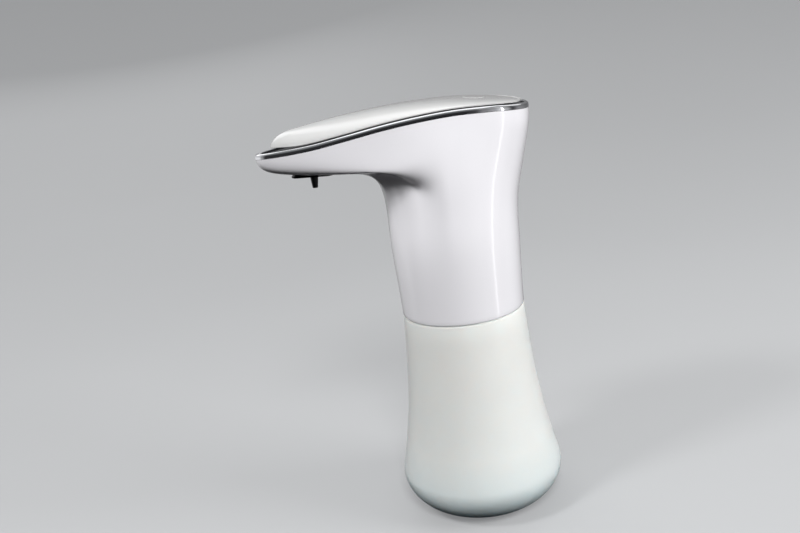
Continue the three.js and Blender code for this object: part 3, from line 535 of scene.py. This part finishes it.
# ---------------------------------------------------------------- domed cover
def cover_edge_z(y):
    """The cover's lower edge floats over the band, a little higher at the nose."""
    return rim_z(y) + TRIM_HEIGHT + 0.3 + 0.8 * smooth(-58, -75, y)


def cover_z(y, share):
    dome = along(COVER_CROWN, y) * math.sqrt(max(0, 1 - share ** 2.2))
    return cover_edge_z(y) + 0.5 * (1 - share ** 8) + dome


def cover_ring(share, height):
    """A ring at a share of the cover's outline; height: a function of y."""
    scaled = [(x * share, mix(RIM_CENTRE_Y, y, share)) for x, y in map(cover_plan, ROUND)]
    return [(x, y, height(y)) for x, y in scaled]


DOME_STEPS = 31
shares = [math.sin(math.pi / 2 * k / DOME_STEPS) for k in range(1, DOME_STEPS)]
cover_top = [cover_ring(share, lambda y: cover_z(y, share)) for share in shares]
rings = list(cover_top)
for share, rise in ((1.0, 0.55), (1.0, 0.3), (0.997, 0.12), (0.99, 0.02), (0.98, 0.0), (0.91, 0.0)):
    rings.append(cover_ring(share, lambda y: cover_edge_z(y) + rise))
for share in (0.85, 0.7, 0.5, 0.3, 0.05):
    rings.append(cover_ring(share, lambda y: max(cover_z(y, share) - COVER_WALL, cover_edge_z(y) + 0.05)))
cover = ring_mesh("cover_shell", rings, looped=False, flip=True)
cover = boolean(cover, drum("cutter", 0, BUTTON_Y, BUTTON_RADIUS + BUTTON_GAP, *THROUGH_COVER_Z, sides=96))
finish_piece(cover, "head_body", "white_cover", "top_cover")

# ---------------------------------------------------------------- power button
# the cap's top follows the dome: a quadratic fitted to the cover's points round the button
NEAR, PROUD, CAP_DEPTH, STEM_Z = 9, 0.05, 1.9, 180.6
near = np.array([p for ring in cover_top for p in ring if math.hypot(p[0], p[1] - BUTTON_Y) < NEAR])
across, forth = near[:, 0], near[:, 1] - BUTTON_Y
terms = np.stack([np.ones(len(near)), forth, across ** 2, forth ** 2], 1)
dome = np.linalg.lstsq(terms, near[:, 2], rcond=None)[0]
cap_z = dome[0] + PROUD
cap_under_z = cap_z - CAP_DEPTH
cap_profile = [(r, cap_z) for r in (0, 1.2, 2.4, 3.3, 4.1)]
cap_profile += arc(BUTTON_RADIUS - 0.22, cap_z - 0.23, 0.22, 85, 0, 5)
cap_profile += [(BUTTON_RADIUS, cap_under_z), (1.5, cap_under_z)]
cap_profile += [(1.5, STEM_Z + 0.2), (1.3, STEM_Z), (0, STEM_Z)]
cap = lathe("button_cap", cap_profile, 96, 0, BUTTON_Y)
for vertex in cap.data.vertices:
    if vertex.co.z > (cap_z - 1) * MM:
        x, y = vertex.co.x / MM, vertex.co.y / MM - BUTTON_Y
        vertex.co.z += (dome[1] * y + dome[2] * x * x + dome[3] * y * y) * MM
finish_piece(cap, "button_body", "white_cover", "power_button")


# --------------------------------------------------------------------- bottle
def side_radius(z):
    """The bottle's outer radius between its widest point and its shoulder."""
    for (z0, r0, slope0), (z1, r1, slope1) in zip(BOTTLE_SIDE, BOTTLE_SIDE[1:]):
        if z <= z1:
            break
    return hermite((z - z0) / (z1 - z0), z1 - z0, r0, slope0, r1, slope1)


def heel(t):
    """A point of the rounded foot, from the base at 0 to the widest point at 1."""
    w = [(1 - t) ** 3, 3 * t * (1 - t) ** 2, 3 * t * t * (1 - t), t ** 3]
    return tuple(sum(a * handle[k] for a, handle in zip(w, BOTTLE_HEEL)) for k in (0, 1))


def inner_heel(t):
    """The same on the inside, where the wall thickens towards the floor."""
    r, z = heel(1 - t)
    return r - 2.2, z + 1.4 + 1.1 * t


profile = [(0, BOTTLE_FLOOR_Z), (20, BOTTLE_FLOOR_Z)] + [heel(i / 24) for i in range(25)]
profile += [(side_radius(z), z) for z in np.linspace(BOTTLE_SIDE[0][0], 94.9, 60)[1:]]
profile += [(27.35, 95.3), (27.0, 95.5), (23.4, 95.5), (23.1, 95.6), (NECK_RADIUS, 95.9)]
profile += arc(NECK_RADIUS - NECK_ROUND, NECK_ROUND_Z, NECK_ROUND, 0, 90, 4)
profile += arc(NECK_BORE + NECK_ROUND, NECK_ROUND_Z, NECK_ROUND, 90, 180, 4)
profile += [(NECK_BORE, 92.5), (21.6, 91.2), (24.0, 89.6), (25.6, 88.0)]
profile += [(side_radius(z) - BOTTLE_WALL, z) for z in np.linspace(86, 22, 30)]
profile += [inner_heel(i / 14) for i in range(1, 13)] + [(20, 4.0), (0, 4.0)]
bottle = lathe("bottle_shell", profile, 160, sharp=40)
for middle in (90, 270):
    lug = sector(LUG_ROOT, LUG_RADIUS, middle - LUG_HALF_SPAN, middle + LUG_HALF_SPAN)
    bottle = boolean(bottle, stack("lug", [(lug, z) for z in LUG_Z]), "UNION", sharp=40)
finish_piece(bottle, "bottle_body", "frosted_bottle", "bottle")

# -------------------------------------------------------------------- foot pad
PAD_RADIUS, PAD_HEIGHT, RECESS = 21, 1.2, 0.35
pad_profile = [(0, RECESS), (15.6, RECESS), (15.8, 0.3), (16.0, 0.0), (20.6, 0.0), (20.9, 0.12)]
pad_profile += [(PAD_RADIUS, 0.4), (PAD_RADIUS, PAD_HEIGHT), (0, PAD_HEIGHT)]
finish_piece(lathe("foot_ring", pad_profile, 96), "bottle_body", "silicone", "foot_pad")

# ------------------------------------------------------------ spout underside
# how far the outline grows, and z below the spout's underside: a rounded plate
PLATE_SECTION = [(-1.0, -1.0), (-0.35, -0.97), (-0.08, -0.85), (0.0, -0.65), (0.0, -0.3)]
width, length, corner = WINDOW_PLATE
outlines = [(rounded_rect(width + 2 * grow, length + 2 * grow, corner + grow), z)
            for grow, z in PLATE_SECTION]
outlines += [(rounded_rect(*WINDOW_NECK), z) for z in (-0.3, 1.6)]
lens = in_spout(boolean(stack("window_lens", outlines), drum("cutter", 0, 0, 2.2, -3, 3)))
finish_piece(lens, "head_body", "black_gloss", "sensor_window")

tip_profile = [(0.8, -6.5), (0.9, -6.6), (1.1, -6.6), (1.22, -6.45), (1.3, -5.6), (1.72, -2.2), (1.75, -1.8),
               (1.75, 3), (2.9, 3), (2.9, 4.0), (0.8, 4.0)]
tip = in_spout(lathe("nozzle_tip", tip_profile, 64))
finish_piece(tip, "head_body", "black_plastic", "nozzle")

# ------------------------------------------------------ soap path in the bottle
tube_profile = [(TUBE_BORE, TUBE_LOW_Z), (TUBE_RADIUS, TUBE_LOW_Z)]
tube_profile += [(TUBE_RADIUS, TUBE_TOP_Z), (TUBE_BORE, TUBE_TOP_Z)]
finish_piece(lathe("dip_tube", tube_profile, 40, 0, TUBE_Y), "head_body", "hose", "suction_tube")

# ---------------------------------------------------------------------- camera
CAMERA_DISTANCE, CAMERA_HEIGHT = 368.75, 221.79
PAN, TILT, ROLL = -0.0708, 0.2751, -0.1406         # radians
FOCAL, FRAME_WIDTH, SENSOR = 850.0, 800, 36        # two widths in image points, one in millimetres
forward = Vector((-math.cos(TILT) * math.cos(PAN), math.cos(TILT) * math.sin(PAN), -math.sin(TILT)))
level = forward.cross(Vector((0, 0, 1))).normalized()
upright = level.cross(forward)
right = level * math.cos(ROLL) + upright * math.sin(ROLL)
up = upright * math.cos(ROLL) - level * math.sin(ROLL)
eye = (CAMERA_DISTANCE * MM, 0, CAMERA_HEIGHT * MM)
camera = bpy.data.objects.new("camera", bpy.data.cameras.new("camera"))
camera.data.lens, camera.data.sensor_width = FOCAL * SENSOR / FRAME_WIDTH, SENSOR
camera.data.clip_start, camera.data.clip_end = 0.02, 50
camera.matrix_world = Matrix((right.to_4d(), up.to_4d(), (-forward).to_4d(), (*eye, 1))).transposed()
bpy.context.scene.collection.objects.link(camera)
bpy.context.scene.camera = camera

# ----------------------------------------------------------------------- stage
# a round pale floor that bends up smoothly into a wall
FLOOR_RADIUS, BEND, WALL_TOP, STAGE_THICKNESS, BELOW = 450, 2300, 3200, 20, 0.02
WALL_RADIUS = FLOOR_RADIUS + BEND
bend = [(r, z - BELOW) for r, z in arc(FLOOR_RADIUS, BEND, BEND, -90, 0, 48)[1:]]
studio_profile = [(0, -BELOW), (FLOOR_RADIUS, -BELOW)] + bend
studio_profile += [(WALL_RADIUS, WALL_TOP), (WALL_RADIUS + STAGE_THICKNESS, WALL_TOP),
                   (WALL_RADIUS + STAGE_THICKNESS, -STAGE_THICKNESS), (0, -STAGE_THICKNESS)]
studio = lathe("studio", studio_profile, 160)
studio.data.materials.append(material(
    "floor", (0.28, 0.284, 0.288), 0.6, variation=0.012, scale=3, bump=0.02, bump_scale=400,
    Emission_Color=(0.9, 0.91, 0.93, 1), Emission_Strength=0.22, Specular_IOR_Level=0.2))
for flag in ("visible_diffuse", "visible_glossy", "visible_shadow"):
    setattr(studio, flag, False)
studio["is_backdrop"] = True


# ---------------------------------------------------------------------- lights
def area_light(name, azimuth, elevation, distance, size, energy, size_y=None, diffuse=True, glossy=True):
    """A soft light aimed at the head, in metres and watts; azimuth runs from +X towards +Y."""
    data = bpy.data.lights.new(name, "AREA")
    data.energy, data.size = energy, size
    if size_y:
        data.shape, data.size_y = "RECTANGLE", size_y
    obj = bpy.data.objects.new(name, data)
    az, el = math.radians(azimuth), math.radians(elevation)
    way = Vector((math.cos(el) * math.cos(az), math.cos(el) * math.sin(az), math.sin(el)))
    obj.location = Vector((0, 0, 0.11)) + way * distance
    obj.rotation_euler = (-way).to_track_quat("-Z", "Y").to_euler()
    obj.visible_camera, obj.visible_diffuse, obj.visible_glossy = False, diffuse, glossy
    bpy.context.scene.collection.objects.link(obj)


# six soft lights for the surfaces, then four panels that only reflections show
area_light("key", 74, 22, 1.1, 0.55, 11.0, glossy=False)
area_light("fill", -60, 47, 1.2, 0.2, 6.4, glossy=False)
area_light("front", 6, 43, 1.3, 0.35, 11.6, glossy=False)
area_light("sky", 180, 80, 1.2, 1.0, 1.0, glossy=False)
area_light("back", -155, 30, 1.3, 0.9, 3.2, glossy=False)
area_light("nose_side", -82, 14, 1.3, 0.7, 1.1, glossy=False)
area_light("top", 180, 76, 1.2, 1.3, 5.0, diffuse=False)
area_light("edge_strip", 66, -14, 0.8, 0.04, 0.32, 0.9, diffuse=False)
area_light("nose_sky", -140, 33, 0.9, 0.36, 0.45, diffuse=False)
area_light("tail_sky", 128, 41, 0.9, 0.4, 0.4, diffuse=False)

# ----------------------------------------------------------------------- world
# a soft vertical gradient, and dim walls that only reflections see
WALLS = [(-180, 0.34), (-158, 0.5), (-140, 0.9), (-104, 1.0), (-93, 0.4), (-84, 0.02), (-20, 0.01),
         (8, 0.01), (22, 0.05), (36, 0.28), (52, 0.45), (64, 0.9), (76, 0.5), (88, 0.06), (106, 0.32),
         (140, 0.18), (165, 0.28), (180, 0.34)]    # azimuth in degrees, brightness
WALL_HEIGHTS = [(-0.5, 0), (-0.3, 0.8), (-0.1, 0.8), (0.04, 0.6), (0.35, 0.5), (0.7, 0)]
world = bpy.data.worlds.new("studio")
bpy.context.scene.world = world
world.use_nodes = True
sky = world.node_tree
way = add_node(sky, "SeparateXYZ", {0: add_node(sky, "TexCoord", {}).outputs["Generated"]}).outputs
azimuth = add_node(sky, "Math", {0: way["Y"], 1: way["X"]}, operation="ARCTAN2").outputs[0]
turn = add_node(sky, "MapRange", {"Value": azimuth, "From Min": -math.pi, "From Max": math.pi}).outputs[0]
lift = add_node(sky, "MapRange", {"Value": way["Z"], "From Min": -1, "From Max": 1}).outputs[0]
fade = add_ramp(sky, lift, [((z + 1) / 2, (v, v, v)) for z, v in WALL_HEIGHTS])
walls = add_ramp(sky, turn, [((a + 180) / 360, (v, v, v * 1.02)) for a, v in WALLS], "EASE")
glossy_ray = add_node(sky, "LightPath", {}).outputs["Is Glossy Ray"]
seen = add_node(sky, "Math", {0: glossy_ray, 1: fade}, operation="MULTIPLY").outputs[0]
gradient = add_ramp(sky, way["Z"], [(0.08, (0.014, 0.014, 0.015)), (0.75, (0.28, 0.285, 0.29))])
shaders = [add_node(sky, "Background", {0: gradient}), add_node(sky, "Background", {0: walls, 1: seen})]
both = add_node(sky, "AddShader", {k: shader.outputs[0] for k, shader in enumerate(shaders)})
plug(sky.nodes["World Output"], {"Surface": both.outputs[0]})
bpy.context.scene.view_settings.view_transform = "Standard"

boxes = {"cad": cad_box, "visual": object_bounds()}
boxes = {name: [list(map(float, p)) for p in box] for name, box in boxes.items()}
